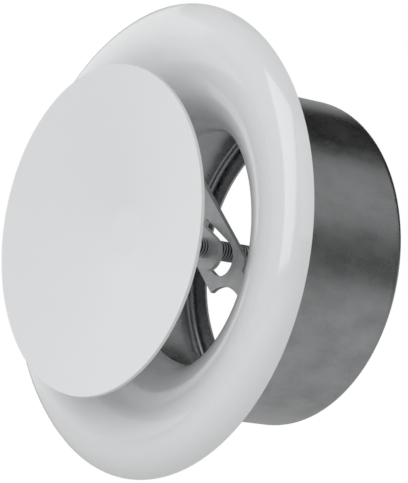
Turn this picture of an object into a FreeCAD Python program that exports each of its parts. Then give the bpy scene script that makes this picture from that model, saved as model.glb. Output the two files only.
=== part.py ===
import FreeCAD, Part
import math
import os

# Ventilation disc valve for a round duct, held in a wall by a galvanised mounting sleeve.
# Frame: the valve's axis lies along Y, the disc faces -Y and the duct runs off towards +Y.
# The origin is on the axis, in the plane of the wall (y = 0). +Z is up. Millimetres.

# Face ring: a pressed and painted flange that runs inwards as a bell mouth to the throat.
# The crest stands outside the sleeve's bore, and the throat leaves room inside it for the springs.
ring_sheet = 1.0
brim_width = 10.9
crest_overhang = 10.2
crest_height = 5.9
throat_room = 13.9

# Mounting sleeve: a galvanised spigot with a screw flange and an inturned rear lip
sleeve_diameter = 99.2
sleeve_sheet = 0.7
sleeve_depth = 53.0
sleeve_corner_radius = 3.5
lip_width = 7.2
screw_flange_width = 13.4
screw_inset = 7.0
screw_hole_radius = 2.1
screw_count = 3

# Foam gasket between the face ring and the screw flange
gasket_inset = 0.3
gasket_width = 3.4
gasket_clearance = 0.1

# Disc: a shallow cone with a flat middle and a plain edge
disc_diameter = 96.2
disc_sheet = 0.9
disc_dish_depth = 10.0
disc_middle_radius = 7.6
disc_middle_bend = 16.0
disc_stand_off = 21.6

# Spindle, its collar and the washer that backs the disc
spindle_radius = 3.0
spindle_end = 51.0
spindle_chamfer = 0.6
collar_radius = 5.2
collar_thickness = 1.6
backing_washer_radius = 7.2
backing_washer_thickness = 1.2
running_clearance = 0.05
face_clearance = 0.1

# Crossbar: a strip behind the throat, with a lobe and a scallop beside its middle on one arm
bar_sheet = 1.5
bar_half_width = 8.6
bar_throat_gap = 3.2
bar_turn_deg = 44.0
bar_lobe_along = 8.9
bar_lobe_across = 3.6
bar_lobe_radius = 6.1
bar_scallop_along = 19.5
bar_scallop_across = -10.3
bar_scallop_radius = 10.0
bar_arm_top = 5.6
bar_shoulder = 2.5
bar_shoulder_radius = 3.0
bar_tab_rise = 0.6
bar_tab_length = 8.0
bar_bend = 1.5

# Tongue: lanced out of the crossbar's middle and pressed forwards; it carries the spindle
tongue_turn_deg = 31.0
tongue_half_width = 5.2
tongue_kerf = 0.25
tongue_blank_end = 4.8
tongue_root = 9.0
tongue_ramp = 3.0
tongue_lift = 3.9
tongue_bend = 1.2

# Rivets of the crossbar and of the leaf springs
rivet_radius = 1.6
rivet_head_radius = 3.0
rivet_head_height = 1.0
rivet_seat_gap = 0.05
rivet_setback = 4.8

# Leaf springs that grip the inside of the sleeve
spring_sheet = 0.5
spring_width = 10.0
spring_count = 3
spring_wall_gap = 0.1
spring_foot_rise = 0.4
spring_foot_length = 8.0
spring_bow_lean = 1.5
spring_bow_depth = 8.0
spring_pad_start = 5.0
spring_pad_end = -1.0
spring_tail_length = 9.0
spring_tail_drop = 3.0
spring_bend = 2.5

# Lock nut and spring washer behind the crossbar
nut_across_flats = 10.0
nut_thickness = 5.0
nut_stand_off = 17.5
nut_chamfer_deg = 30.0
lock_washer_radius = 5.8
lock_washer_thickness = 1.2
lock_washer_slit = 0.8

# How far a cutting tool or a trimming block reaches past the sheet that it cuts
tool_margin = 6.0

Y_AXIS = FreeCAD.Vector(0, 1, 0)
ORIGIN = FreeCAD.Vector(0, 0, 0)


# Values that follow from the driving sizes

sleeve_radius = sleeve_diameter / 2
sleeve_bore = sleeve_radius - sleeve_sheet
lip_opening_radius = sleeve_radius - lip_width
screw_flange_radius = sleeve_radius + screw_flange_width
screw_circle_radius = screw_flange_radius - screw_inset
crest_radius = sleeve_bore + crest_overhang
throat_radius = sleeve_bore - throat_room
gasket_inner_radius = crest_radius + gasket_inset
disc_radius = disc_diameter / 2

# The bell mouth is a quarter circle from the crest to the throat, where it runs along the axis.
bell_radius = crest_radius - throat_radius
throat_end = bell_radius - crest_height
rivet_depth = throat_end - rivet_setback

# The flange's outer arc is flat at the crest and meets the wall at the ring's full radius.
brim_arc_radius = (brim_width ** 2 + crest_height ** 2) / (2 * crest_height)

disc_middle_y = -disc_stand_off + disc_dish_depth
disc_back_y = disc_middle_y + disc_sheet
backing_washer_y = disc_back_y + face_clearance
collar_y = backing_washer_y + backing_washer_thickness + face_clearance
bar_front_y = throat_end + bar_throat_gap
bar_back_y = bar_front_y + bar_sheet
tongue_front_y = bar_front_y - tongue_lift
tongue_slant = math.hypot(tongue_ramp, tongue_lift)
tongue_end = tongue_blank_end - (tongue_slant - tongue_ramp)
lock_washer_y = bar_back_y + nut_stand_off
nut_y = lock_washer_y + lock_washer_thickness + face_clearance


def bell_back_radius(y):
    """Outside radius of the bell mouth's sheet at depth y."""
    return crest_radius - math.sqrt((bell_radius - ring_sheet) ** 2 - (throat_end - y) ** 2)


def bell_front_radius(y):
    """Inside radius of the bell mouth's sheet at depth y."""
    return crest_radius - math.sqrt(bell_radius ** 2 - (throat_end - y) ** 2)


def point(r, y):
    """A point of a section: distance from the axis, then depth."""
    return FreeCAD.Vector(r, y, 0)


def offset_corners(corners, distance):
    """Corners of the path that runs the given distance to the left of a path."""
    moved = []
    for i, here in enumerate(corners):
        before = corners[max(i - 1, 0)]
        after = corners[min(i + 1, len(corners) - 1)]
        first = (here - before) if i > 0 else (after - here)
        second = (after - here) if i < len(corners) - 1 else first
        first = FreeCAD.Vector(first).normalize()
        second = FreeCAD.Vector(second).normalize()
        left_first = FreeCAD.Vector(-first.y, first.x, 0)
        left_second = FreeCAD.Vector(-second.y, second.x, 0)
        mitre = left_first + left_second
        moved.append(here + mitre * (2 * distance / mitre.Length ** 2))
    return moved


def turn_sign(before, here, after):
    """+1 where a path turns left at a corner, -1 where it turns right."""
    cross = (here - before).cross(after - here).z
    return 1 if cross > 0 else -1


def rounded_edges(corners, radii):
    """Straight runs through the corners, joined by tangent arcs of the given radii."""
    edges = []
    start = corners[0]
    for i in range(1, len(corners) - 1):
        before, here, after = corners[i - 1], corners[i], corners[i + 1]
        if radii[i] <= 0:
            edges.append(Part.LineSegment(start, here).toShape())
            start = here
            continue
        back = (before - here).normalize()
        ahead = (after - here).normalize()
        half = back.getAngle(ahead) / 2
        reach = radii[i] / math.tan(half)
        leave = here + back * reach
        join = here + ahead * reach
        middle_line = (back + ahead).normalize()
        centre = here + middle_line * (radii[i] / math.sin(half))
        middle = centre - middle_line * radii[i]
        if (leave - start).Length > 1e-6:
            edges.append(Part.LineSegment(start, leave).toShape())
        edges.append(Part.Arc(leave, middle, join).toShape())
        start = join
    edges.append(Part.LineSegment(start, corners[-1]).toShape())
    return edges


def sheet_section(corners, radii, sheet):
    """Section of a bent sheet whose right-hand face runs through the corners.

    The radii are those of the right-hand face; the left-hand face keeps the sheet's thickness.
    """
    left = offset_corners(corners, sheet)
    left_radii = []
    for i, radius in enumerate(radii):
        inner = 0 < i < len(corners) - 1
        sign = turn_sign(corners[i - 1], corners[i], corners[i + 1]) if inner else 1
        left_radii.append(max(radius - sign * sheet, 0) if inner else 0)
    edges = rounded_edges(corners, radii)
    edges.append(Part.LineSegment(corners[-1], left[-1]).toShape())
    edges += rounded_edges(left[::-1], left_radii[::-1])
    edges.append(Part.LineSegment(left[0], corners[0]).toShape())
    return Part.Face(Part.Wire(Part.__sortEdges__(edges)))


def outline_face(corners, radii):
    """Flat closed outline with rounded corners."""
    middle_of_last = (corners[-1] + corners[0]) * 0.5
    path = [middle_of_last] + list(corners) + [middle_of_last]
    edges = rounded_edges(path, [0] + list(radii) + [0])
    return Part.Face(Part.Wire(edges))


def spun(face):
    """Turn a section once round the valve's axis."""
    return face.revolve(ORIGIN, Y_AXIS, 360)


def tube(inner, outer, y_start, y_end):
    """Plain ring about the axis between two depths."""
    body = Part.makeCylinder(outer, y_end - y_start, point(0, y_start), Y_AXIS)
    if inner > 0:
        body = body.cut(Part.makeCylinder(inner, y_end - y_start, point(0, y_start), Y_AXIS))
    return body


def turned(shape, degrees):
    """Copy of a shape turned about the valve's axis, from +X towards +Z."""
    copy = shape.copy()
    copy.rotate(ORIGIN, Y_AXIS, -degrees)
    return copy


def on_arc(centre, radius, degrees):
    """Point of a section's arc, by its angle from the direction that faces the room."""
    angle = math.radians(degrees)
    return centre + point(radius * math.sin(angle), -radius * math.cos(angle))


def arc_edge(centre, radius, start, end):
    middle = on_arc(centre, radius, (start + end) / 2)
    return Part.Arc(on_arc(centre, radius, start), middle, on_arc(centre, radius, end)).toShape()


def face_ring():
    """Bell mouth and brim: two tangent arcs that share the crest.

    The bell mouth's arcs are parted in front of the rivets, so that only the rear band is pierced.
    """
    bell_centre = point(crest_radius, throat_end)
    brim_centre = point(crest_radius, brim_arc_radius - crest_height)
    inner_bell = bell_radius - ring_sheet
    inner_brim = brim_arc_radius - ring_sheet
    rim_turn = math.degrees(math.acos(brim_centre.y / brim_arc_radius))
    inner_turn = math.degrees(math.acos(brim_centre.y / inner_brim))
    band_y = rivet_depth - 2 * rivet_head_radius
    band_turn = -math.degrees(math.acos((throat_end - band_y) / bell_radius))
    throat = on_arc(bell_centre, bell_radius, -90)
    throat_back = on_arc(bell_centre, inner_bell, -90)
    rim = on_arc(brim_centre, brim_arc_radius, rim_turn)
    rim_inside = on_arc(brim_centre, inner_brim, inner_turn)
    edges = [
        arc_edge(bell_centre, bell_radius, -90, band_turn),
        arc_edge(bell_centre, bell_radius, band_turn, 0),
        arc_edge(brim_centre, brim_arc_radius, 0, rim_turn),
        Part.LineSegment(rim, rim_inside).toShape(),
        arc_edge(brim_centre, inner_brim, inner_turn, 0),
        arc_edge(bell_centre, inner_bell, 0, band_turn),
        arc_edge(bell_centre, inner_bell, band_turn, -90),
        Part.LineSegment(throat_back, throat).toShape(),
    ]
    ring = spun(Part.Face(Part.Wire(edges)))
    for degrees in bar_angles() + spring_angles():
        ring = ring.cut(turned(rivet_hole(), degrees))
    return ring


def radial_cylinder(radius, start, end):
    """Cylinder that points outwards along +X at the rivets' depth."""
    return Part.makeCylinder(radius, end - start, point(start, rivet_depth), FreeCAD.Vector(1, 0, 0))


def rivet_hole():
    return radial_cylinder(rivet_radius + rivet_seat_gap,
                           throat_radius - tool_margin, throat_radius + tool_margin)


def bar_angles():
    """Directions of the crossbar's two ends: down to the right and up to the left."""
    return [-bar_turn_deg, 180 - bar_turn_deg]


def spring_angles():
    """Directions of the leaf springs; the first is square to the crossbar."""
    return [90 - bar_turn_deg + i * 360 / spring_count for i in range(spring_count)]


def mounting_sleeve():
    """Spigot: screw flange, wall, rounded rear corner and inturned lip in one sheet."""
    corners = [
        point(screw_flange_radius, 0),
        point(sleeve_radius, 0),
        point(sleeve_radius, sleeve_depth),
        point(lip_opening_radius, sleeve_depth),
    ]
    sleeve = spun(sheet_section(corners, [0, 0, sleeve_corner_radius, 0], sleeve_sheet))
    hole = Part.makeCylinder(screw_hole_radius, 2 * tool_margin,
                             point(screw_circle_radius, -tool_margin), Y_AXIS)
    for i in range(screw_count):
        sleeve = sleeve.cut(turned(hole, 90 + i * 360 / screw_count))
    return sleeve


def ring_gasket():
    """Foam strip glued under the brim; its front face stays clear of the brim's arcs."""
    outer = gasket_inner_radius + gasket_width
    inner_brim = brim_arc_radius - ring_sheet
    brim_centre_y = brim_arc_radius - crest_height
    front = brim_centre_y - math.sqrt(inner_brim ** 2 - (outer - crest_radius) ** 2)
    return tube(gasket_inner_radius, outer, front + gasket_clearance, -sleeve_sheet - gasket_clearance)


def disc():
    """Dished plate: flat middle, then a long cone out to the edge."""
    corners = [
        point(0, disc_middle_y),
        point(disc_middle_radius, disc_middle_y),
        point(disc_radius, -disc_stand_off),
    ]
    return spun(sheet_section(corners, [0, disc_middle_bend, 0], disc_sheet))


def disc_backing_washer():
    return tube(spindle_radius + running_clearance, backing_washer_radius,
                backing_washer_y, backing_washer_y + backing_washer_thickness)


def spindle():
    """Threaded rod with a collar; its front end is welded to the middle of the disc."""
    corners = [
        point(0, disc_back_y),
        point(spindle_radius, disc_back_y),
        point(spindle_radius, collar_y),
        point(collar_radius, collar_y),
        point(collar_radius, collar_y + collar_thickness),
        point(spindle_radius, collar_y + collar_thickness),
        point(spindle_radius, spindle_end - spindle_chamfer),
        point(spindle_radius - spindle_chamfer, spindle_end),
        point(0, spindle_end),
    ]
    return spun(Part.Face(Part.makePolygon(corners + corners[:1])))


def crossbar():
    """Strip with end tabs, cut to its outline, with a tongue lanced out of its middle."""
    lean = bar_turn_deg - tongue_turn_deg
    strip = strip_with_tabs().common(bar_outline())
    strip = strip.cut(turned(tongue_window(), lean))
    strip = strip.fuse(turned(tongue(), lean))
    bore = Part.makeCylinder(spindle_radius + running_clearance, 2 * tool_margin,
                             point(0, tongue_front_y - tool_margin), Y_AXIS)
    strip = strip.cut(bore)
    for degrees in (0, 180):
        strip = strip.cut(turned(rivet_hole(), degrees))
    return turned(strip.removeSplitter(), -bar_turn_deg)


def bar_tab_start():
    return throat_end - bar_tab_rise


def strip_with_tabs():
    """Plain bent strip along X: flat middle, and tabs that lie against the bell mouth."""
    tab_tip_y = bar_tab_start() - bar_tab_length
    end = bell_back_radius(bar_tab_start()) + running_clearance
    tip = bell_back_radius(tab_tip_y) + running_clearance
    right = [point(0, bar_front_y), point(end, bar_front_y),
             point(end, bar_tab_start()), point(tip, tab_tip_y)]
    half = sheet_section(right, [0, bar_bend, bar_bend + bar_sheet, 0], bar_sheet)
    half = half.extrude(FreeCAD.Vector(0, 0, 2 * bar_half_width))
    half.translate(FreeCAD.Vector(0, 0, -bar_half_width))
    return half.fuse(turned(half, 180)).removeSplitter()


def bar_outline():
    """Outline of the strip seen along the axis, as a tall prism.

    The arm at +X narrows behind a round lobe on one side and a round scallop on the other.
    """
    wide = bar_half_width
    foot = sleeve_bore
    shoulder = bell_back_radius(throat_end) - 2 * bar_shoulder
    corners = [(-foot, -wide), (foot, -wide), (foot, wide), (shoulder + bar_shoulder, wide),
               (shoulder, bar_arm_top), (bar_lobe_along, bar_arm_top), (bar_lobe_along, wide),
               (-foot, wide)]
    radii = [0, 0, 0, bar_shoulder_radius / 2, bar_shoulder_radius, 0, 0, 0]
    flat = outline_face([FreeCAD.Vector(x, z, 0) for x, z in corners], radii)
    flat.rotate(ORIGIN, FreeCAD.Vector(1, 0, 0), 90)
    flat.translate(FreeCAD.Vector(0, bar_back_y + tool_margin, 0))
    height = bar_back_y + 2 * tool_margin
    prism = flat.extrude(FreeCAD.Vector(0, -height, 0))
    lobe = upright_post(bar_lobe_radius, bar_lobe_along, bar_lobe_across, height)
    scallop = upright_post(bar_scallop_radius, bar_scallop_along, bar_scallop_across, height)
    return prism.fuse(lobe).cut(scallop)


def upright_post(radius, along, across, height):
    """Post parallel to the axis that ends a little behind the crossbar."""
    foot = FreeCAD.Vector(along, bar_back_y + tool_margin - height, across)
    return Part.makeCylinder(radius, height, foot, Y_AXIS)


def tongue_prism(half_width, start, end):
    """Tall prism round the tongue: straight sides and a half-round end."""
    height = bar_back_y + 2 * tool_margin
    sides = Part.makeBox(end - start, height, 2 * half_width,
                         FreeCAD.Vector(start, bar_back_y + tool_margin - height, -half_width))
    return sides.fuse(upright_post(half_width, end, 0, height))


def tongue_window():
    """Opening that the tongue leaves in the strip."""
    return tongue_prism(tongue_half_width + tongue_kerf, -tongue_root, tongue_blank_end)


def tongue():
    """Raised tongue: a ramp from the strip, then a flat lug with a half-round end."""
    root = -tongue_root - bar_sheet
    path = [point(root, bar_front_y), point(-tongue_root, bar_front_y),
            point(-tongue_root + tongue_ramp, tongue_front_y),
            point(tongue_end + tongue_half_width, tongue_front_y)]
    section = sheet_section(path, [0, tongue_bend, tongue_bend + bar_sheet, 0], bar_sheet)
    blank = section.extrude(FreeCAD.Vector(0, 0, 2 * tongue_half_width))
    blank.translate(FreeCAD.Vector(0, 0, -tongue_half_width))
    return blank.common(tongue_prism(tongue_half_width, root, tongue_end))


def dome_edge(tip, base):
    """Low dome of a rivet head, from its tip on the rivet's axis to its edge."""
    height = base - tip
    sphere = (rivet_head_radius ** 2 + height ** 2) / (2 * height)
    half = math.asin(rivet_head_radius / abs(sphere)) / 2
    middle = FreeCAD.Vector(tip + sphere * (1 - math.cos(half)), abs(sphere) * math.sin(half), 0)
    return Part.Arc(FreeCAD.Vector(tip, 0, 0), middle, FreeCAD.Vector(base, rivet_head_radius, 0)).toShape()


def radial_rivet(grip_start, grip_end):
    """Rivet through the bell mouth with a low domed head at each end."""
    low = grip_start - rivet_seat_gap
    high = grip_end + rivet_seat_gap
    corners = [FreeCAD.Vector(low, rivet_head_radius, 0), FreeCAD.Vector(low, rivet_radius, 0),
               FreeCAD.Vector(high, rivet_radius, 0), FreeCAD.Vector(high, rivet_head_radius, 0)]
    edges = [dome_edge(low - rivet_head_height, low)]
    for start, end in zip(corners, corners[1:]):
        edges.append(Part.LineSegment(start, end).toShape())
    edges.append(dome_edge(high + rivet_head_height, high))
    tips = [FreeCAD.Vector(high + rivet_head_height, 0, 0), FreeCAD.Vector(low - rivet_head_height, 0, 0)]
    edges.append(Part.LineSegment(tips[0], tips[1]).toShape())
    section = Part.Face(Part.Wire(Part.__sortEdges__(edges)))
    rivet = section.revolve(ORIGIN, FreeCAD.Vector(1, 0, 0), 360)
    rivet.translate(FreeCAD.Vector(0, rivet_depth, 0))
    return rivet


def rivet_inner_seat():
    """Radius at which a flat head's edge meets the curved inside of the bell mouth."""
    narrow = bell_front_radius(rivet_depth + rivet_head_radius)
    return math.sqrt(narrow ** 2 - rivet_head_radius ** 2)


def chord_radius(y, start_y, length):
    """Inside face, at depth y, of a flat strip whose two ends touch the bell mouth's back."""
    start = bell_back_radius(start_y) + running_clearance
    tip = bell_back_radius(start_y - length) + running_clearance
    return start + (tip - start) * (start_y - y) / length


def crossbar_rivet(degrees):
    tab = chord_radius(rivet_depth - rivet_head_radius, bar_tab_start(), bar_tab_length)
    return turned(radial_rivet(rivet_inner_seat(), tab + bar_sheet), degrees)


def spring_foot_start():
    return throat_end - spring_foot_rise


def spring():
    """Bowed leaf: a foot on the bell mouth, a bow that meets the sleeve, and a free tail."""
    foot_y = spring_foot_start()
    tip_y = foot_y - spring_foot_length
    foot = bell_back_radius(foot_y) + running_clearance
    tip = bell_back_radius(tip_y) + running_clearance
    bow_y = foot_y + spring_bow_depth
    reach = sleeve_bore - spring_wall_gap
    outer = math.sqrt(reach ** 2 - (spring_width / 2) ** 2)
    path = [point(tip, tip_y), point(foot, foot_y), point(foot + spring_bow_lean, bow_y),
            point(outer, foot_y + spring_pad_start), point(outer, foot_y + spring_pad_end),
            point(outer - spring_tail_drop, foot_y - spring_tail_length)]
    radii = [0, 2 * spring_bend, spring_bend, spring_bend, spring_bend, 0]
    section = sheet_section(path, radii, -spring_sheet)
    leaf = section.extrude(FreeCAD.Vector(0, 0, spring_width))
    leaf.translate(FreeCAD.Vector(0, 0, -spring_width / 2))
    return leaf.cut(rivet_hole())


def spring_rivet(degrees):
    leaf = chord_radius(rivet_depth - rivet_head_radius, spring_foot_start(), spring_foot_length)
    return turned(radial_rivet(rivet_inner_seat(), leaf + spring_sheet), degrees)


def lock_washer():
    """Split spring washer."""
    ring = tube(spindle_radius + 4 * running_clearance, lock_washer_radius,
                lock_washer_y, lock_washer_y + lock_washer_thickness)
    slit = Part.makeBox(tool_margin, 2 * tool_margin, lock_washer_slit,
                        FreeCAD.Vector(0, lock_washer_y - tool_margin, -lock_washer_slit / 2))
    return ring.cut(slit)


def lock_nut():
    """Hexagon nut with both faces chamfered by cones."""
    corner_radius = nut_across_flats / math.sqrt(3)
    corners = []
    for i in range(6):
        angle = math.radians(60 * i)
        corners.append(FreeCAD.Vector(corner_radius * math.cos(angle), nut_y,
                                      corner_radius * math.sin(angle)))
    prism = Part.Face(Part.makePolygon(corners + corners[:1])).extrude(Y_AXIS * nut_thickness)
    flat = nut_across_flats / 2
    rise = (corner_radius - flat) * math.tan(math.radians(nut_chamfer_deg))
    profile = [point(0, nut_y), point(flat, nut_y), point(corner_radius, nut_y + rise),
               point(corner_radius, nut_y + nut_thickness - rise),
               point(flat, nut_y + nut_thickness), point(0, nut_y + nut_thickness)]
    rounded = spun(Part.Face(Part.makePolygon(profile + profile[:1])))
    bore = tube(0, spindle_radius + running_clearance, nut_y - tool_margin,
                nut_y + nut_thickness + tool_margin)
    return prism.common(rounded).cut(bore)


def build():
    """Every node of the valve, by name."""
    nodes = {
        "face_ring": face_ring(),
        "ring_gasket": ring_gasket(),
        "mounting_sleeve": mounting_sleeve(),
        "disc": disc(),
        "disc_backing_washer": disc_backing_washer(),
        "spindle": spindle(),
        "crossbar": crossbar(),
        "lock_washer": lock_washer(),
        "lock_nut": lock_nut(),
    }
    for number, degrees in enumerate(bar_angles(), start=1):
        nodes["crossbar_rivet_%d" % number] = crossbar_rivet(degrees)
    for number, degrees in enumerate(spring_angles(), start=1):
        nodes["retaining_spring_%d" % number] = turned(spring(), degrees)
        nodes["spring_rivet_%d" % number] = spring_rivet(degrees)
    return nodes


def main():
    os.makedirs("parts", exist_ok=True)
    for name, shape in build().items():
        solids = shape.Solids
        box = shape.BoundBox
        print("%-22s solids %d valid %s volume %9.2f  x %6.1f %6.1f  y %6.1f %6.1f  z %6.1f %6.1f" % (
            name, len(solids), shape.isValid(), shape.Volume,
            box.XMin, box.XMax, box.YMin, box.YMax, box.ZMin, box.ZMax))
        shape.exportStep("parts/%s.step" % name)


main()
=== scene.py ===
import math

import bmesh
import bpy
import numpy as np
from mathutils import Matrix, Vector


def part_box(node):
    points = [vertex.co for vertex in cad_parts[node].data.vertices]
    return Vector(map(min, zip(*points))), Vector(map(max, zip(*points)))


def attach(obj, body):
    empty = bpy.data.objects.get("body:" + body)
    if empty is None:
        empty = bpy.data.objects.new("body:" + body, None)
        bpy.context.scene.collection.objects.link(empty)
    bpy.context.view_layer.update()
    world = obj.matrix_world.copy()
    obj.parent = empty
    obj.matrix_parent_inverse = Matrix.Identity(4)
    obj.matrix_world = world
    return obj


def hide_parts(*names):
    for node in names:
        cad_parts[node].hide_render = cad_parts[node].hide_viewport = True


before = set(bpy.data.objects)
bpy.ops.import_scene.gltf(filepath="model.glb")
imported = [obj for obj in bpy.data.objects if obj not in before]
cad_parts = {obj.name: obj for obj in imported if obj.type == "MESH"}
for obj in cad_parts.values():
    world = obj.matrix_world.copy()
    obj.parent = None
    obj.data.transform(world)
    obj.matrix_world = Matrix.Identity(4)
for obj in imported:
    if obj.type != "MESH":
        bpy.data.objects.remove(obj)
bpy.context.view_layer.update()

bl_info = {
    "name": "Ventilation disc valve",
    "version": (1, 0, 0),
    "blender": (4, 5, 0),
    "location": "View3D > Sidebar > Disc valve",
    "description": "Finishes, thread and studio for a painted disc valve in its duct sleeve",
    "category": "Object",
}

# The valve's frame: metres, its axis along Y, the disc towards -Y, +Z up, y = 0 in the wall plane.
MM = 0.001

# Cleaning of the CAD's loose triangles before an edge is bevelled.
WELD_DISTANCE = 0.002 * MM
FLAT_ANGLE = math.radians(0.5)
SHARP_ANGLE = math.radians(40)

# Grid of the threaded rod: columns round the axis, and rows for each turn of the thread.
THREAD_COLUMNS = 48
THREAD_ROWS = 16

# The metric thread in shares of its pitch: its depth, its flat crest and root, its run-out behind
# the collar, its end's chamfer, and how far down its flanks the worn crest fades into painted
# shade.
THREAD_DEPTH = 0.5413
THREAD_CREST = 0.125
THREAD_ROOT = 0.25
THREAD_RUN_OUT = 0.4
THREAD_CHAMFER = 0.62
THREAD_WORN_TO_SHADED = 0.45

# Relief of the finishes.
PEEL_DEPTH = 0.004 * MM
ZINC_DEPTH = 0.006 * MM
LINE_DEPTH = 0.003 * MM
FILM_DEPTH = 0.003 * MM
CELL_DEPTH = 0.15 * MM

# How fast a rolled pattern changes along the rolls, against across them.
ZINC_ALONG = 0.55
LINE_ALONG = 0.04

# How much of the fine pattern is added to the clouds.
GRAIN_SHARE = 0.2
LINE_SHARE = 0.35

# Camera: sensor width in millimetres, picture height in pixels, clipping distances in metres.
SENSOR_MM = 36.0
PICTURE_HEIGHT = 483
CLIP_START = 0.01
CLIP_END = 50

# Azimuths run from -Y towards +X. Angles in degrees, lengths in metres, power in watts.
SOFTBOXES = (
    {"name": "key_softbox", "azimuth": 6, "elevation": 25, "distance": 1.3,
     "width": 0.66, "height": 1.3, "power": 6.4},
    {"name": "fill_softbox", "azimuth": -78, "elevation": 16, "distance": 1.2,
     "width": 1.2, "height": 1.2, "power": 2.6},
    {"name": "side_softbox", "azimuth": 50, "elevation": 26, "distance": 1.2,
     "width": 0.7, "height": 0.9, "power": 1.2},
)

# Dark cards that only reflections see: they put the two dark bands on the sleeve. In metres.
FLAG_DISTANCE = 0.9
FLAG_LENGTH = 1.8
FLAGS = (
    {"name": "upper_flag", "direction": (-0.164, 0.61, 0.773), "width": 0.66, "colour": "#3C3C3C"},
    {"name": "middle_flag", "direction": (0.786, 0.61, 0.083), "width": 0.42, "colour": "#848484"},
)

# Floor: half its width in metres, its colour, and the glow that only the camera sees.
FLOOR_HALF = 6.0
FLOOR_COLOUR = "#EDEDED"
FLOOR_LIFT = 0.5


def linear(hex_colour):
    """Linear RGB of an sRGB hex colour, by the sRGB transfer curve."""
    channels = np.array([int(hex_colour[i:i + 2], 16) for i in (1, 3, 5)]) / 255
    curve = np.where(channels <= 0.04045, channels / 12.92, ((channels + 0.055) / 1.055) ** 2.4)
    return tuple(float(c) for c in curve)


class ValveSizes(bpy.types.PropertyGroup):
    """Sizes of the details that the finish adds to the valve."""

    thread_pitch: bpy.props.FloatProperty(
        name="Thread pitch", description="Rise of the spindle's thread in one turn",
        default=1.0 * MM, unit="LENGTH", precision=5)
    thread_crest_radius: bpy.props.FloatProperty(
        name="Thread crest radius", description="Outside radius of the spindle's thread",
        default=3.0 * MM, unit="LENGTH", precision=5)
    collar_radius: bpy.props.FloatProperty(
        name="Collar radius", description="Radius of the collar behind the disc's washer",
        default=5.2 * MM, unit="LENGTH", precision=5)
    collar_gap: bpy.props.FloatProperty(
        name="Collar gap", description="From the disc's backing washer to the collar",
        default=0.1 * MM, unit="LENGTH", precision=5)
    collar_thickness: bpy.props.FloatProperty(
        name="Collar thickness", description="Thickness of the spindle's collar",
        default=1.6 * MM, unit="LENGTH", precision=5)
    edge_break: bpy.props.FloatProperty(
        name="Edge break", description="Softened width of the crossbar's sheared edges",
        default=0.18 * MM, unit="LENGTH", precision=5)


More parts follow.
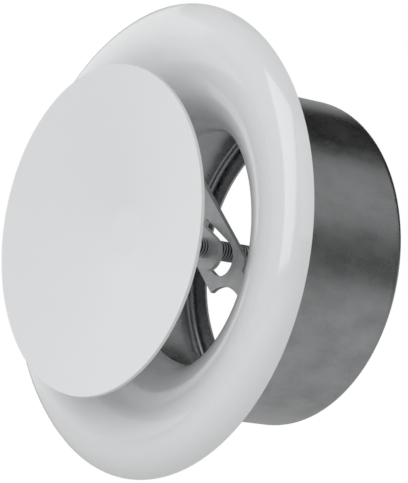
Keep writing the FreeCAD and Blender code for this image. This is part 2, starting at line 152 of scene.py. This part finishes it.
class ValveFinish(bpy.types.PropertyGroup):
    """Colours, gloss and pattern widths of the valve's finishes."""

    paint: bpy.props.FloatVectorProperty(
        name="Powder coat", description="Colour of the white powder coat",
        default=linear("#E6E7E8"), subtype="COLOR", size=3, min=0, max=1)
    ring_roughness: bpy.props.FloatProperty(
        name="Ring roughness", description="Micro roughness of the face ring's powder coat",
        default=0.1, subtype="FACTOR", min=0, max=1)
    disc_roughness: bpy.props.FloatProperty(
        name="Disc roughness", description="Micro roughness of the disc's satin powder coat",
        default=0.38, subtype="FACTOR", min=0, max=1)
    peel_width: bpy.props.FloatProperty(
        name="Orange peel", description="Width of the powder coat's ripples",
        default=1.8 * MM, unit="LENGTH", precision=5)
    paint_drift: bpy.props.FloatProperty(
        name="Paint drift", description="Width over which the powder coat's tone and gloss drift",
        default=30 * MM, unit="LENGTH", precision=5)
    galvanised: bpy.props.FloatVectorProperty(
        name="Galvanised sheet", description="Colour of the sleeve's zinc coat",
        default=linear("#AEB0B1"), subtype="COLOR", size=3, min=0, max=1)
    patch_width: bpy.props.FloatProperty(
        name="Zinc patches", description="Width of the clouds in the sleeve's zinc coat",
        default=8 * MM, unit="LENGTH", precision=5)
    grain_width: bpy.props.FloatProperty(
        name="Zinc grain", description="Width of the fine grain in the sleeve's zinc coat",
        default=0.9 * MM, unit="LENGTH", precision=5)
    strip: bpy.props.FloatVectorProperty(
        name="Zinc strip", description="Colour of the crossbar's zinc coat",
        default=linear("#E2E4E4"), subtype="COLOR", size=3, min=0, max=1)
    strip_turn: bpy.props.FloatProperty(
        name="Rolling direction", description="Turn of the crossbar's rolling lines about the axis",
        default=math.radians(-44), subtype="ANGLE")
    strip_line_width: bpy.props.FloatProperty(
        name="Rolling lines", description="Width of the crossbar's rolling lines",
        default=0.3 * MM, unit="LENGTH", precision=5)
    strip_cloud_width: bpy.props.FloatProperty(
        name="Strip clouds", description="Width of the clouds in the crossbar's zinc coat",
        default=4 * MM, unit="LENGTH", precision=5)
    thread: bpy.props.FloatVectorProperty(
        name="Thread crest", description="Colour of the plating on the thread's rubbed crests",
        default=linear("#CFD0D2"), subtype="COLOR", size=3, min=0, max=1)
    # Painted shade: the dark colour painted into the thread's roots, where shade falls.
    painted_root_shade: bpy.props.FloatVectorProperty(
        name="Thread root", description="Colour of the film left in the thread's roots",
        default=linear("#343436"), subtype="COLOR", size=3, min=0, max=1)
    thread_film_width: bpy.props.FloatProperty(
        name="Thread film", description="Width over which the thread's plating drifts",
        default=1.2 * MM, unit="LENGTH", precision=5)
    fastener: bpy.props.FloatVectorProperty(
        name="Bright zinc", description="Colour of the rivets, washers and nut",
        default=linear("#B4B7BA"), subtype="COLOR", size=3, min=0, max=1)
    fastener_film_width: bpy.props.FloatProperty(
        name="Fastener film", description="Width over which the fasteners' plating drifts",
        default=1.5 * MM, unit="LENGTH", precision=5)
    fastener_roughness: bpy.props.FloatProperty(
        name="Fastener roughness", description="Micro roughness of the fasteners' plating",
        default=0.32, subtype="FACTOR", min=0, max=1)
    spring: bpy.props.FloatVectorProperty(
        name="Spring steel", description="Colour of the blued leaf springs",
        default=linear("#5C6066"), subtype="COLOR", size=3, min=0, max=1)
    spring_film_width: bpy.props.FloatProperty(
        name="Spring film", description="Width over which the springs' bluing drifts",
        default=4 * MM, unit="LENGTH", precision=5)
    spring_roughness: bpy.props.FloatProperty(
        name="Spring roughness", description="Micro roughness of the springs' bluing",
        default=0.33, subtype="FACTOR", min=0, max=1)
    foam: bpy.props.FloatVectorProperty(
        name="Foam", description="Colour of the closed-cell gasket",
        default=linear("#3A3B3D"), subtype="COLOR", size=3, min=0, max=1)
    foam_cell_width: bpy.props.FloatProperty(
        name="Foam cells", description="Width of the gasket's cells",
        default=0.6 * MM, unit="LENGTH", precision=5)


class ValveStudio(bpy.types.PropertyGroup):
    """Camera, floor and world."""

    azimuth: bpy.props.FloatProperty(
        name="Camera azimuth", description="Camera's direction round the valve, from -Y towards +X",
        default=math.radians(52.16), subtype="ANGLE")
    elevation: bpy.props.FloatProperty(
        name="Camera elevation", description="Camera's height above the axis, as an angle",
        default=math.radians(-4.82), subtype="ANGLE")
    roll: bpy.props.FloatProperty(
        name="Camera roll", description="How far the valve's upright leans right in the picture",
        default=math.radians(6.15), subtype="ANGLE")
    distance: bpy.props.FloatProperty(
        name="Camera distance", description="From the camera to the point it aims at",
        default=760.2 * MM, unit="LENGTH")
    aim_right: bpy.props.FloatProperty(
        name="Aim right", description="How far right of the valve's origin the camera aims",
        default=13.9 * MM, unit="LENGTH", precision=5)
    aim_down: bpy.props.FloatProperty(
        name="Aim down", description="How far below the valve's origin the camera aims",
        default=0.5 * MM, unit="LENGTH", precision=5)
    focal_pixels: bpy.props.FloatProperty(
        name="Focal length in pixels", description="Focal length, in the picture's pixels",
        default=2606.4)
    floor_drop: bpy.props.FloatProperty(
        name="Floor drop", description="Height of the valve's axis above the floor",
        default=240 * MM, unit="LENGTH")
    world_level: bpy.props.FloatProperty(
        name="World level", description="Strength of the plain light from all round",
        default=0.43, min=0)


def add(tree, kind, fields=None, values=None, links=None):
    """One node with its settings, socket values and incoming links."""
    made = tree.nodes.new(kind)
    for name, value in (fields or {}).items():
        setattr(made, name, value)
    for socket, value in (values or {}).items():
        made.inputs[socket].default_value = value
    for socket, source in (links or {}).items():
        tree.links.new(source, made.inputs[socket])
    return made


def join(tree, shader, sources):
    """Lead each source into the shader's socket of that name."""
    for socket, source in sources.items():
        tree.links.new(source, shader.inputs[socket])


def empty_tree(owner):
    """The node tree of a material or world, cleared."""
    owner.use_nodes = True
    owner.node_tree.nodes.clear()
    return owner.node_tree


def new_material(name):
    """Empty material: its tree, its shader and its object coordinates in metres."""
    material = bpy.data.materials.new(name)
    tree = empty_tree(material)
    shader = add(tree, "ShaderNodeBsdfPrincipled")
    add(tree, "ShaderNodeOutputMaterial", links={"Surface": shader.outputs["BSDF"]})
    place = add(tree, "ShaderNodeTexCoord").outputs["Object"]
    return material, tree, shader, place


def rgba(colour, gain=1.0):
    """Colour with its brightness scaled and full alpha."""
    return (colour[0] * gain, colour[1] * gain, colour[2] * gain, 1.0)


def powder_coat(name, finish, roughness):
    """White polyester powder coat on pressed steel: baked smooth, with a faint orange peel."""
    material, tree, shader, place = new_material(name)
    peel = add(tree, "ShaderNodeTexNoise",
               values={"Scale": 1 / finish.peel_width, "Detail": 1.0}, links={"Vector": place})
    cloud = add(tree, "ShaderNodeTexNoise",
                values={"Scale": 1 / finish.paint_drift, "Detail": 2.0}, links={"Vector": place})
    dark, light = rgba(finish.paint, 0.985), rgba(finish.paint)
    colour = add(tree, "ShaderNodeMix", {"data_type": "RGBA"}, {"A": dark, "B": light},
                 {"Factor": cloud.outputs[0]})
    rough = add(tree, "ShaderNodeMapRange",
                values={"To Min": roughness - 0.03, "To Max": roughness + 0.03},
                links={"Value": cloud.outputs[0]})
    relief = add(tree, "ShaderNodeBump", values={"Strength": 1.0, "Distance": PEEL_DEPTH},
                 links={"Height": peel.outputs[0]})
    join(tree, shader, {"Base Color": colour.outputs["Result"], "Roughness": rough.outputs[0],
                        "Normal": relief.outputs[0]})
    shader.inputs["IOR"].default_value = 1.5
    return material


def galvanised_sheet(finish):
    """Hot-dip galvanised sheet: zinc frozen in soft grey clouds, drawn out along the axis."""
    material, tree, shader, place = new_material("galvanised_sheet")
    rolled = add(tree, "ShaderNodeMapping", values={"Scale": (1, ZINC_ALONG, 1)},
                 links={"Vector": place})
    patch = add(tree, "ShaderNodeTexNoise",
                values={"Scale": 1 / finish.patch_width, "Detail": 5.0, "Roughness": 0.62},
                links={"Vector": rolled.outputs[0]})
    grain = add(tree, "ShaderNodeTexNoise",
                values={"Scale": 1 / finish.grain_width, "Detail": 4.0, "Roughness": 0.65},
                links={"Vector": place})
    both = add(tree, "ShaderNodeMath", {"operation": "MULTIPLY_ADD"}, {1: GRAIN_SHARE},
               {0: grain.outputs[0], 2: patch.outputs[0]})
    level = add(tree, "ShaderNodeMapRange", values={"From Min": 0.38, "From Max": 0.8},
                links={"Value": both.outputs[0]})
    dark, light = rgba(finish.galvanised, 0.84), rgba(finish.galvanised, 1.16)
    colour = add(tree, "ShaderNodeMix", {"data_type": "RGBA"}, {"A": dark, "B": light},
                 {"Factor": level.outputs[0]})
    rough = add(tree, "ShaderNodeMapRange",
                values={"From Min": 0.3, "From Max": 0.7, "To Min": 0.22, "To Max": 0.34},
                links={"Value": patch.outputs[0]})
    relief = add(tree, "ShaderNodeBump", values={"Strength": 1.0, "Distance": ZINC_DEPTH},
                 links={"Height": both.outputs[0]})
    join(tree, shader, {"Base Color": colour.outputs["Result"], "Roughness": rough.outputs[0],
                        "Normal": relief.outputs[0]})
    shader.inputs["Metallic"].default_value = 1.0
    return material


def zinc_strip(finish):
    """Electrogalvanised strip: fine rolling lines, dulled by a pale grey passivation film."""
    # Real rolling lines are under 0.1 mm wide, and are drawn wider here so that they show.
    material, tree, shader, place = new_material("zinc_strip")
    drawn = add(tree, "ShaderNodeMapping",
                values={"Scale": (LINE_ALONG, 1, 1), "Rotation": (0, finish.strip_turn, 0)},
                links={"Vector": place})
    lines = add(tree, "ShaderNodeTexNoise",
                values={"Scale": 1 / finish.strip_line_width, "Detail": 2.0},
                links={"Vector": drawn.outputs[0]})
    cloud = add(tree, "ShaderNodeTexNoise",
                values={"Scale": 1 / finish.strip_cloud_width, "Detail": 3.0},
                links={"Vector": place})
    both = add(tree, "ShaderNodeMath", {"operation": "MULTIPLY_ADD"}, {1: LINE_SHARE},
               {0: lines.outputs[0], 2: cloud.outputs[0]})
    level = add(tree, "ShaderNodeMapRange", values={"From Min": 0.45, "From Max": 0.9},
                links={"Value": both.outputs[0]})
    dark, light = rgba(finish.strip, 0.86), rgba(finish.strip, 1.08)
    colour = add(tree, "ShaderNodeMix", {"data_type": "RGBA"}, {"A": dark, "B": light},
                 {"Factor": level.outputs[0]})
    rough = add(tree, "ShaderNodeMapRange", values={"To Min": 0.38, "To Max": 0.56},
                links={"Value": cloud.outputs[0]})
    relief = add(tree, "ShaderNodeBump", values={"Strength": 1.0, "Distance": LINE_DEPTH},
                 links={"Height": lines.outputs[0]})
    join(tree, shader, {"Base Color": colour.outputs["Result"], "Roughness": rough.outputs[0],
                        "Normal": relief.outputs[0]})
    shader.inputs["Metallic"].default_value = 0.65
    return material


def plated_steel(name, colour, film_width, roughness):
    """Plated or blued steel: a thin film whose tone and gloss drift over a few millimetres."""
    material, tree, shader, place = new_material(name)
    film = add(tree, "ShaderNodeTexNoise", values={"Scale": 1 / film_width, "Detail": 3.0},
               links={"Vector": place})
    dark, light = rgba(colour, 0.78), rgba(colour, 1.15)
    tone = add(tree, "ShaderNodeMix", {"data_type": "RGBA"}, {"A": dark, "B": light},
               {"Factor": film.outputs[0]})
    rough = add(tree, "ShaderNodeMapRange",
                values={"To Min": roughness - 0.08, "To Max": roughness + 0.1},
                links={"Value": film.outputs[0]})
    relief = add(tree, "ShaderNodeBump", values={"Strength": 1.0, "Distance": FILM_DEPTH},
                 links={"Height": film.outputs[0]})
    join(tree, shader, {"Base Color": tone.outputs["Result"], "Roughness": rough.outputs[0],
                        "Normal": relief.outputs[0]})
    shader.inputs["Metallic"].default_value = 1.0
    return material


def plated_thread(sizes, finish):
    """Rolled thread in dark zinc plating: crests worn glossy, painted shade darkening the roots."""
    material, tree, shader, place = new_material("plated_thread")
    flat = add(tree, "ShaderNodeVectorMath", {"operation": "MULTIPLY"}, {1: (1, 0, 1)},
               {0: place})
    radius = add(tree, "ShaderNodeVectorMath", {"operation": "LENGTH"},
                 links={0: flat.outputs[0]})
    crest = sizes.thread_crest_radius
    # Mask by radius: 1 on the worn, glossier crests, down to 0 in the painted-shade roots.
    worn_and_unshaded = add(tree, "ShaderNodeMapRange",
                 values={"From Min": crest - THREAD_WORN_TO_SHADED * sizes.thread_pitch,
                         "From Max": crest},
                 links={"Value": radius.outputs["Value"]})
    film = add(tree, "ShaderNodeTexNoise",
               values={"Scale": 1 / finish.thread_film_width, "Detail": 3.0},
               links={"Vector": place})
    dark, light = rgba(finish.thread, 0.85), rgba(finish.thread, 1.2)
    worn = add(tree, "ShaderNodeMix", {"data_type": "RGBA"}, {"A": dark, "B": light},
               {"Factor": film.outputs[0]})
    # Painted shade: the roots get the dark root colour, the crests the plating's colour.
    tone = add(tree, "ShaderNodeMix", {"data_type": "RGBA"}, {"A": rgba(finish.painted_root_shade)},
               {"Factor": worn_and_unshaded.outputs[0], "B": worn.outputs["Result"]})
    rough = add(tree, "ShaderNodeMapRange", values={"To Min": 0.5, "To Max": 0.34},
                links={"Value": worn_and_unshaded.outputs[0]})
    join(tree, shader, {"Base Color": tone.outputs["Result"], "Roughness": rough.outputs[0]})
    shader.inputs["Metallic"].default_value = 0.9
    return material


def gasket_foam(finish):
    """Closed-cell foam strip: small cells, cut open at its faces, and no gloss."""
    material, tree, shader, place = new_material("gasket_foam")
    cells = add(tree, "ShaderNodeTexVoronoi", values={"Scale": 1 / finish.foam_cell_width},
                links={"Vector": place})
    dark, light = rgba(finish.foam, 0.6), rgba(finish.foam, 1.2)
    tone = add(tree, "ShaderNodeMix", {"data_type": "RGBA"}, {"A": dark, "B": light},
               {"Factor": cells.outputs["Distance"]})
    relief = add(tree, "ShaderNodeBump", values={"Strength": 1.0, "Distance": CELL_DEPTH},
                 links={"Height": cells.outputs["Distance"]})
    join(tree, shader, {"Base Color": tone.outputs["Result"], "Normal": relief.outputs[0]})
    shader.inputs["Roughness"].default_value = 0.85
    return material


def dress(node_names, material):
    """Give CAD nodes a material."""
    for name in node_names:
        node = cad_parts[name]
        node.data.materials.clear()
        node.data.materials.append(material)


def numbered(prefix, count):
    """Names of a group of like nodes, numbered from 1."""
    return ["%s_%d" % (prefix, i + 1) for i in range(count)]


def linked_object(name, data):
    """New object in the scene with this mesh, lamp or camera."""
    made = bpy.data.objects.new(name, data)
    bpy.context.scene.collection.objects.link(made)
    return made


def mesh_object(name, points, faces, material, smooth=True):
    """Object at the origin from an array of points and a list of faces."""
    mesh = bpy.data.meshes.new(name)
    mesh.from_pydata(points.tolist(), [], faces)
    mesh.polygons.foreach_set("use_smooth", [smooth] * len(mesh.polygons))
    mesh.validate()
    mesh.update()
    mesh.materials.append(material)
    return linked_object(name, mesh)


def ring_quads(rows, columns):
    """Quads between the rings of a grid that is closed round its columns, from front to back."""
    row, column = np.meshgrid(np.arange(rows - 1), np.arange(columns), indexing="ij")
    here = row * columns + column
    beside = row * columns + (column + 1) % columns
    quads = np.stack([here, here + columns, beside + columns, beside], axis=-1)
    return quads.reshape(-1, 4)


def merged_poles(points, quads, columns):
    """Points and faces of a closed grid whose first and last rings become one point each."""
    flat = points.reshape(-1, 3)
    last = len(flat) - columns
    index = np.arange(len(flat))
    index[:columns] = 0
    index[last:] = last
    kept, renumbered = np.unique(index, return_inverse=True)
    faces = [list(dict.fromkeys(face)) for face in renumbered[quads].tolist()]
    return flat[kept], faces


def softened_copy(name, node_name, material, width):
    """Merged copy of a CAD node with its sharp edges bevelled."""
    work = bmesh.new()
    work.from_mesh(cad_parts[node_name].data)
    bmesh.ops.remove_doubles(work, verts=work.verts, dist=WELD_DISTANCE)
    bmesh.ops.dissolve_limit(work, angle_limit=FLAT_ANGLE, verts=work.verts, edges=work.edges)
    mesh = bpy.data.meshes.new(name)
    work.to_mesh(mesh)
    work.free()
    mesh.materials.append(material)
    made = linked_object(name, mesh)
    bevel = made.modifiers.new("edge break", "BEVEL")
    bevel.width = width
    bevel.segments = 2
    bevel.limit_method = "ANGLE"
    bevel.angle_limit = SHARP_ANGLE
    bevel.use_clamp_overlap = True
    return made


def thread_radius(turns, crest, pitch):
    """Radius of a 60 degree thread, flat at its crest in the middle of each turn.

    From there it falls evenly with the distance from the middle, down to a flat root.
    """
    place = np.abs(np.mod(turns, 1.0) - 0.5) * 2
    share = np.clip((place - THREAD_CREST) / (1 - THREAD_CREST - THREAD_ROOT), 0, 1)
    return crest - THREAD_DEPTH * pitch * share


def threaded_rod(sizes):
    """Grid of depth by angle: the radius steps along the neck and collar, then follows a helix.

    The thread's turn is the depth over the pitch, less the angle over a full turn. The end's
    chamfer caps the radius.
    """
    low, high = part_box("spindle")
    pitch = sizes.thread_pitch
    crest = sizes.thread_crest_radius
    root = crest - THREAD_DEPTH * pitch
    collar_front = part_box("disc_backing_washer")[1].y + sizes.collar_gap
    collar_back = collar_front + sizes.collar_thickness
    thread_start = collar_back + THREAD_RUN_OUT * pitch
    rows = int(round((high.y - thread_start) / pitch * THREAD_ROWS))
    angle = np.linspace(0, 2 * math.pi, THREAD_COLUMNS, endpoint=False)
    depth = np.linspace(thread_start, high.y, rows)[:, None]
    turns = depth / pitch - angle[None, :] / (2 * math.pi)
    chamfer = crest - THREAD_CHAMFER * pitch + (high.y - depth)
    radius = np.minimum(thread_radius(turns, crest, pitch), chamfer)
    neck = np.array([(0, low.y), (crest, low.y), (crest, collar_front),
                     (sizes.collar_radius, collar_front), (sizes.collar_radius, collar_back),
                     (root, collar_back), (root, thread_start)])
    neck_radius = np.repeat(neck[:, :1], THREAD_COLUMNS, axis=1)
    neck_depth = np.repeat(neck[:, 1:], THREAD_COLUMNS, axis=1)
    radius = np.concatenate([neck_radius, radius, np.zeros((1, THREAD_COLUMNS))])
    depth = np.concatenate([neck_depth, np.repeat(depth, THREAD_COLUMNS, axis=1),
                            np.full((1, THREAD_COLUMNS), high.y)])
    points = np.stack([radius * np.cos(angle), depth, radius * np.sin(angle)], axis=-1)
    return merged_poles(points, ring_quads(len(radius), THREAD_COLUMNS), THREAD_COLUMNS)


class VALVE_OT_paintwork(bpy.types.Operator):
    """Powder coat on the face ring and, less glossy, on the disc"""

    bl_idname = "valve.paintwork"
    bl_label = "Paintwork"

    def execute(self, context):
        finish = context.scene.valve_finish
        gloss = powder_coat("gloss_powder_coat", finish, finish.ring_roughness)
        satin = powder_coat("satin_powder_coat", finish, finish.disc_roughness)
        dress(["face_ring"], gloss)
        dress(["disc"], satin)
        return {"FINISHED"}


class VALVE_OT_sleeve(bpy.types.Operator):
    """Galvanised finish on the mounting sleeve"""

    bl_idname = "valve.sleeve"
    bl_label = "Mounting sleeve"

    def execute(self, context):
        finish = context.scene.valve_finish
        dress(["mounting_sleeve"], galvanised_sheet(finish))
        return {"FINISHED"}


class VALVE_OT_crossbar(bpy.types.Operator):
    """Zinc strip crossbar with its sheared edges broken"""

    bl_idname = "valve.crossbar"
    bl_label = "Crossbar"

    def execute(self, context):
        strip = softened_copy("zinc_crossbar", "crossbar", zinc_strip(context.scene.valve_finish),
                              context.scene.valve_sizes.edge_break)
        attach(strip, "valve")
        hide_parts("crossbar")
        return {"FINISHED"}


class VALVE_OT_spindle(bpy.types.Operator):
    """Spindle with its collar and a true helical thread"""

    bl_idname = "valve.spindle"
    bl_label = "Threaded spindle"

    def execute(self, context):
        sizes = context.scene.valve_sizes
        points, faces = threaded_rod(sizes)
        material = plated_thread(sizes, context.scene.valve_finish)
        rod = mesh_object("threaded_spindle", points, faces, material)
        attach(rod, "disc_group")
        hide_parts("spindle")
        return {"FINISHED"}


class VALVE_OT_fasteners(bpy.types.Operator):
    """Bright zinc on the nut, washers and rivets"""

    bl_idname = "valve.fasteners"
    bl_label = "Fasteners"

    def execute(self, context):
        finish = context.scene.valve_finish
        material = plated_steel("bright_zinc", finish.fastener, finish.fastener_film_width,
                                finish.fastener_roughness)
        names = ["lock_nut", "lock_washer", "disc_backing_washer"]
        names += numbered("crossbar_rivet", 2) + numbered("spring_rivet", 3)
        dress(names, material)
        return {"FINISHED"}


class VALVE_OT_springs(bpy.types.Operator):
    """Blued steel on the leaf springs"""

    bl_idname = "valve.springs"
    bl_label = "Leaf springs"

    def execute(self, context):
        finish = context.scene.valve_finish
        material = plated_steel("blued_spring_steel", finish.spring, finish.spring_film_width,
                                finish.spring_roughness)
        dress(numbered("retaining_spring", 3), material)
        return {"FINISHED"}


class VALVE_OT_gasket(bpy.types.Operator):
    """Foam gasket behind the face ring"""

    bl_idname = "valve.gasket"
    bl_label = "Foam gasket"

    def execute(self, context):
        dress(["ring_gasket"], gasket_foam(context.scene.valve_finish))
        return {"FINISHED"}


def direction_from(azimuth, elevation):
    """Unit vector from the valve towards an azimuth from -Y to +X and an elevation, in radians."""
    return Vector((math.sin(azimuth) * math.cos(elevation),
                   -math.cos(azimuth) * math.cos(elevation), math.sin(elevation)))


def camera_axes(studio):
    """Right, up and backward directions of the camera, with its roll."""
    back = direction_from(studio.azimuth, studio.elevation)
    level_right = Vector((math.cos(studio.azimuth), math.sin(studio.azimuth), 0))
    level_up = back.cross(level_right)
    right = level_right * math.cos(studio.roll) + level_up * math.sin(studio.roll)
    return right, back.cross(right), back


def studio_camera(studio):
    """Camera fitted to the photo's view of the valve."""
    right, up, back = camera_axes(studio)
    aim = right * studio.aim_right - up * studio.aim_down
    data = bpy.data.cameras.new("photo_camera")
    data.sensor_width = SENSOR_MM
    data.lens = studio.focal_pixels / PICTURE_HEIGHT * SENSOR_MM
    data.clip_start = CLIP_START
    data.clip_end = CLIP_END
    camera = linked_object("photo_camera", data)
    turn = Matrix((right, up, back)).transposed()
    camera.matrix_world = Matrix.Translation(aim + back * studio.distance) @ turn.to_4x4()
    bpy.context.scene.camera = camera


def softbox(name, azimuth, elevation, distance, width, height, power):
    """Rectangular lamp that faces the valve's origin."""
    back = direction_from(math.radians(azimuth), math.radians(elevation))
    data = bpy.data.lights.new(name, "AREA")
    data.shape = "RECTANGLE"
    data.size = width
    data.size_y = height
    data.energy = power
    lamp = linked_object(name, data)
    lamp.location = back * distance
    lamp.rotation_mode = "QUATERNION"
    lamp.rotation_quaternion = back.to_track_quat("Z", "Y")


def dark_flag(name, direction, width, colour):
    """Dark card that only reflections see; its length runs along the valve's axis."""
    back = Vector(direction).normalized()
    along = (Vector((0, 1, 0)) - back * back.y).normalized()
    across = along.cross(back)
    corners = [back * FLAG_DISTANCE + along * (FLAG_LENGTH / 2 * i) + across * (width / 2 * j)
               for i, j in ((-1, -1), (1, -1), (1, 1), (-1, 1))]
    material = bpy.data.materials.new(name)
    tree = empty_tree(material)
    card = add(tree, "ShaderNodeBsdfDiffuse", values={"Color": rgba(linear(colour))})
    add(tree, "ShaderNodeOutputMaterial", links={"Surface": card.outputs[0]})
    points = np.array([tuple(corner) for corner in corners])
    flag = mesh_object(name, points, [(0, 1, 2, 3)], material, smooth=False)
    flag.visible_camera = False
    flag.visible_diffuse = False
    flag.visible_shadow = False
    flag.visible_transmission = False


def pale_floor(studio):
    """Plain pale floor; the camera sees it near white, and it keeps the valve's shadow."""
    corners = np.array([(-1, -1, 0), (1, -1, 0), (1, 1, 0), (-1, 1, 0)], float) * FLOOR_HALF
    corners[:, 2] = -studio.floor_drop
    material = bpy.data.materials.new("pale_floor")
    tree = empty_tree(material)
    diffuse = add(tree, "ShaderNodeBsdfDiffuse", values={"Color": rgba(linear(FLOOR_COLOUR))})
    lift = add(tree, "ShaderNodeEmission",
               values={"Color": rgba(linear("#FFFFFF")), "Strength": FLOOR_LIFT})
    path = add(tree, "ShaderNodeLightPath")
    both = add(tree, "ShaderNodeAddShader", links={0: diffuse.outputs[0], 1: lift.outputs[0]})
    mixed = add(tree, "ShaderNodeMixShader", links={
        0: path.outputs["Is Camera Ray"], 1: diffuse.outputs[0], 2: both.outputs[0]})
    add(tree, "ShaderNodeOutputMaterial", links={"Surface": mixed.outputs[0]})
    floor = mesh_object("floor", corners, [(0, 1, 2, 3)], material, smooth=False)


def studio_world(studio):
    """White to the camera and through clear pieces, and a plain grey light for all else."""
    world = bpy.data.worlds.new("studio")
    bpy.context.scene.world = world
    tree = empty_tree(world)
    path = add(tree, "ShaderNodeLightPath")
    seen = add(tree, "ShaderNodeMath", {"operation": "MAXIMUM"}, links={
        0: path.outputs["Is Camera Ray"], 1: path.outputs["Is Transmission Ray"]})
    light = add(tree, "ShaderNodeBackground",
                values={"Color": rgba(linear("#FFFFFF")), "Strength": studio.world_level})
    white = add(tree, "ShaderNodeBackground",
                values={"Color": rgba(linear("#FFFFFF")), "Strength": 1.0})
    mixed = add(tree, "ShaderNodeMixShader", links={
        0: seen.outputs[0], 1: light.outputs[0], 2: white.outputs[0]})
    add(tree, "ShaderNodeOutputWorld", links={"Surface": mixed.outputs[0]})


class VALVE_OT_studio(bpy.types.Operator):
    """Camera, floor, world, softboxes and flags"""

    bl_idname = "valve.studio"
    bl_label = "Studio"

    def execute(self, context):
        studio = context.scene.valve_studio
        studio_camera(studio)
        pale_floor(studio)
        studio_world(studio)
        for box in SOFTBOXES:
            softbox(**box)
        for flag in FLAGS:
            dark_flag(**flag)
        context.scene.view_settings.view_transform = "Standard"
        return {"FINISHED"}


class VALVE_PT_panel(bpy.types.Panel):
    """Lists the valve's pieces, its studio and their settings"""

    bl_idname = "VALVE_PT_panel"
    bl_label = "Disc valve"
    bl_space_type = "VIEW_3D"
    bl_region_type = "UI"
    bl_category = "Disc valve"

    def draw(self, context):
        for step in STEPS:
            self.layout.operator(step.bl_idname)
        for name, group in GROUPS.items():
            box = self.layout.box()
            for prop in group.__annotations__:
                box.prop(getattr(context.scene, name), prop)


STEPS = (VALVE_OT_paintwork, VALVE_OT_sleeve, VALVE_OT_crossbar, VALVE_OT_spindle,
         VALVE_OT_fasteners, VALVE_OT_springs, VALVE_OT_gasket, VALVE_OT_studio)
GROUPS = {"valve_sizes": ValveSizes, "valve_finish": ValveFinish, "valve_studio": ValveStudio}


def register():
    for name, group in GROUPS.items():
        bpy.utils.register_class(group)
        setattr(bpy.types.Scene, name, bpy.props.PointerProperty(type=group))
    for step in STEPS:
        bpy.utils.register_class(step)
    bpy.utils.register_class(VALVE_PT_panel)


def unregister():
    bpy.utils.unregister_class(VALVE_PT_panel)
    for step in reversed(STEPS):
        bpy.utils.unregister_class(step)
    for name, group in GROUPS.items():
        delattr(bpy.types.Scene, name)
        bpy.utils.unregister_class(group)


def main():
    register()
    bpy.ops.valve.paintwork()
    bpy.ops.valve.sleeve()
    bpy.ops.valve.crossbar()
    bpy.ops.valve.spindle()
    bpy.ops.valve.fasteners()
    bpy.ops.valve.springs()
    bpy.ops.valve.gasket()
    bpy.ops.valve.studio()


if __name__ == "__main__":
    main()
